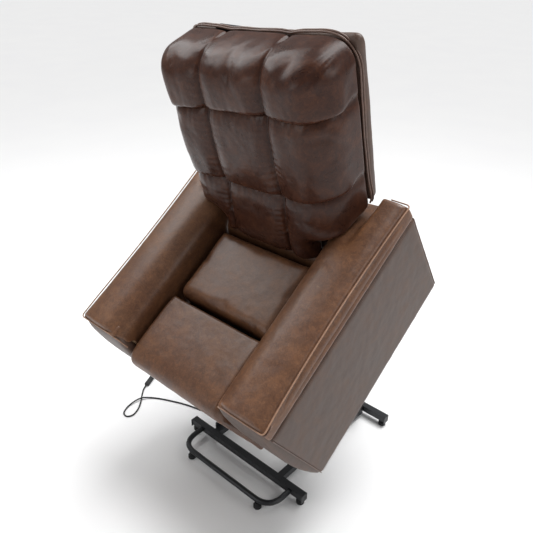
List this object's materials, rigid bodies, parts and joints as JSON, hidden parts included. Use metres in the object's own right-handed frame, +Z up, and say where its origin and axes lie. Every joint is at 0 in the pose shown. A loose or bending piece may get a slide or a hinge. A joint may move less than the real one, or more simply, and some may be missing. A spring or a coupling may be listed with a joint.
{
  "type": "lift recliner chair",
  "caption": "Upholstered power lift recliner, raised and tipped forward on a black steel base, with lift links, actuators, legrest, handset and power lead.",
  "frame": {"origin": "on the floor, under the middle of the raised chair without its lead", "axes": "+Z up, the sitter faces -Y, the sitter's left is +X"},
  "size_m": [1.1859, 0.9788, 1.7079],
  "materials": {
    "leather": "satin",
    "panel_leather": "matte",
    "black_steel": "satin",
    "zinc_steel": "satin",
    "plywood": "matte",
    "black_plastic": "matte",
    "grey_plastic": "satin",
    "rubber": "matte"
  },
  "bodies": {
    "base": {"front_crossbar": "black_steel", "rear_crossbar": "black_steel", "left_side_rail": "black_steel", "right_side_rail": "black_steel", "front_stabiliser_loop": "black_steel", "loop_foot_left": "rubber", "front_foot_left": "rubber", "rear_foot_left": "rubber", "loop_foot_right": "rubber", "front_foot_right": "rubber", "rear_foot_right": "rubber", "left_rear_bracket": "black_steel", "right_rear_bracket": "black_steel", "power_unit": "black_plastic", "lead_gland": "rubber", "power_lead": "rubber", "lead_connector": "black_plastic", "lead_tail": "rubber", "lead_coil": "rubber", "mains_plug": "black_plastic"},
    "lift_links": {"left_lift_link": "black_steel", "right_lift_link": "black_steel", "lift_torque_tube": "black_steel"},
    "guide_links": {"left_guide_link": "zinc_steel", "right_guide_link": "zinc_steel"},
    "lift_motor": {"lift_actuator": "black_plastic"},
    "lift_rod": {"lift_actuator_rod": "zinc_steel"},
    "chair_body": {"left_side_plate": "black_steel", "right_side_plate": "black_steel", "seat_front_crossmember": "black_steel", "seat_rear_crossmember": "black_steel", "left_seat_spring": "zinc_steel", "right_seat_spring": "zinc_steel", "rear_panel": "panel_leather", "left_arm_frame": "plywood", "right_arm_frame": "plywood", "left_arm_panel": "panel_leather", "right_arm_panel": "panel_leather", "left_arm_pad": "leather", "right_arm_pad": "leather", "seat_cushion": "leather", "seat_front_pad": "leather", "side_pocket": "panel_leather", "handset_gland": "rubber"},
    "backrest": {"back_cushion": "leather", "back_rear_shell": "panel_leather", "back_frame": "black_steel"},
    "recline_motor": {"recline_actuator": "black_plastic"},
    "recline_rod": {"recline_actuator_rod": "zinc_steel"},
    "legrest": {"legrest_board": "plywood", "legrest_pad": "leather"},
    "legrest_rear_links": {"left_legrest_rear_link": "zinc_steel", "right_legrest_rear_link": "zinc_steel"},
    "legrest_front_links": {"left_legrest_front_link": "zinc_steel", "right_legrest_front_link": "zinc_steel"},
    "handset": {"handset_casing": "black_plastic"},
    "back_up_key": {"button_back_up": "grey_plastic"},
    "back_down_key": {"button_back_down": "grey_plastic"},
    "legs_up_key": {"button_legs_up": "grey_plastic"},
    "legs_down_key": {"button_legs_down": "grey_plastic"}
  },
  "joints": [
    {"name": "lift", "type": "hinge", "parent": "base", "child": "lift_links", "pos_m": [0, 0.415, 0.12], "axis": [1, 0, 0], "range_deg": [0, 30]},
    {"name": "chair_tilt", "type": "hinge", "parent": "lift_links", "child": "chair_body", "pos_m": [0, -0.14843, 0.39931], "axis": [1, 0, 0], "range_deg": [-65, 0]},
    {"name": "guide_swing", "type": "hinge", "parent": "base", "child": "guide_links", "pos_m": [0, 0.425, 0.27], "axis": [1, 0, 0], "range_deg": [0, 31]},
    {"name": "lift_motor_swing", "type": "hinge", "parent": "base", "child": "lift_motor", "pos_m": [0, 0.44, 0.078], "axis": [1, 0, 0], "range_deg": [0, 32]},
    {"name": "lift_rod_slide", "type": "slide", "parent": "lift_motor", "child": "lift_rod", "axis": [0, -0.746, 0.666], "range_m": [-0.203, 0]},
    {"name": "recline", "type": "hinge", "parent": "chair_body", "child": "backrest", "pos_m": [0, 0.14706, 1.02051], "axis": [-1, 0, 0], "range_deg": [0, 38]},
    {"name": "recline_motor_swing", "type": "hinge", "parent": "chair_body", "child": "recline_motor", "pos_m": [0, -0.11503, 0.64833], "axis": [1, 0, 0], "range_deg": [-3, 3]},
    {"name": "recline_rod_slide", "type": "slide", "parent": "recline_motor", "child": "recline_rod", "axis": [0, 0.8073, 0.5901], "range_m": [-0.11, 0]},
    {"name": "legrest", "type": "hinge", "parent": "chair_body", "child": "legrest", "pos_m": [0, -0.46731, 0.63398], "axis": [-1, 0, 0], "range_deg": [0, 85]},
    {"name": "legrest_drive", "type": "hinge", "parent": "chair_body", "child": "legrest_rear_links", "pos_m": [0, -0.25148, 0.59569], "axis": [-1, 0, 0], "range_deg": [0, 85]},
    {"name": "legrest_fold", "type": "hinge", "parent": "legrest_rear_links", "child": "legrest_front_links", "pos_m": [0, -0.12189, 0.5202], "axis": [-1, 0, 0], "range_deg": [-85, 0]},
    {"name": "handset_draw", "type": "slide", "parent": "chair_body", "child": "handset", "axis": [0, -0.5727, 0.8198], "range_m": [0, 0.09]},
    {"name": "back_up_press", "type": "slide", "parent": "handset", "child": "back_up_key", "axis": [1, 0, 0], "range_m": [0, 0.002], "stiffness_N_per_m": 400, "springref_m": -0.0008},
    {"name": "back_down_press", "type": "slide", "parent": "handset", "child": "back_down_key", "axis": [1, 0, 0], "range_m": [0, 0.002], "stiffness_N_per_m": 400, "springref_m": -0.0008},
    {"name": "legs_up_press", "type": "slide", "parent": "handset", "child": "legs_up_key", "axis": [1, 0, 0], "range_m": [0, 0.002], "stiffness_N_per_m": 400, "springref_m": -0.0008},
    {"name": "legs_down_press", "type": "slide", "parent": "handset", "child": "legs_down_key", "axis": [1, 0, 0], "range_m": [0, 0.002], "stiffness_N_per_m": 400, "springref_m": -0.0008}
  ],
  "couplings": [
    {"joint": "chair_tilt", "follows": "lift", "ratio": -2.1647},
    {"joint": "guide_swing", "follows": "lift", "ratio": 0.98977},
    {"joint": "lift_motor_swing", "follows": "lift", "ratio": 0.95487},
    {"joint": "lift_rod_slide", "follows": "lift", "m_per_rad": -0.38508},
    {"joint": "recline_motor_swing", "follows": "recline", "ratio": 0.033359},
    {"joint": "recline_rod_slide", "follows": "recline", "m_per_rad": -0.14702},
    {"joint": "legrest_drive", "follows": "legrest", "ratio": 0.99291},
    {"joint": "legrest_fold", "follows": "legrest", "ratio": -0.99149}
  ]
}
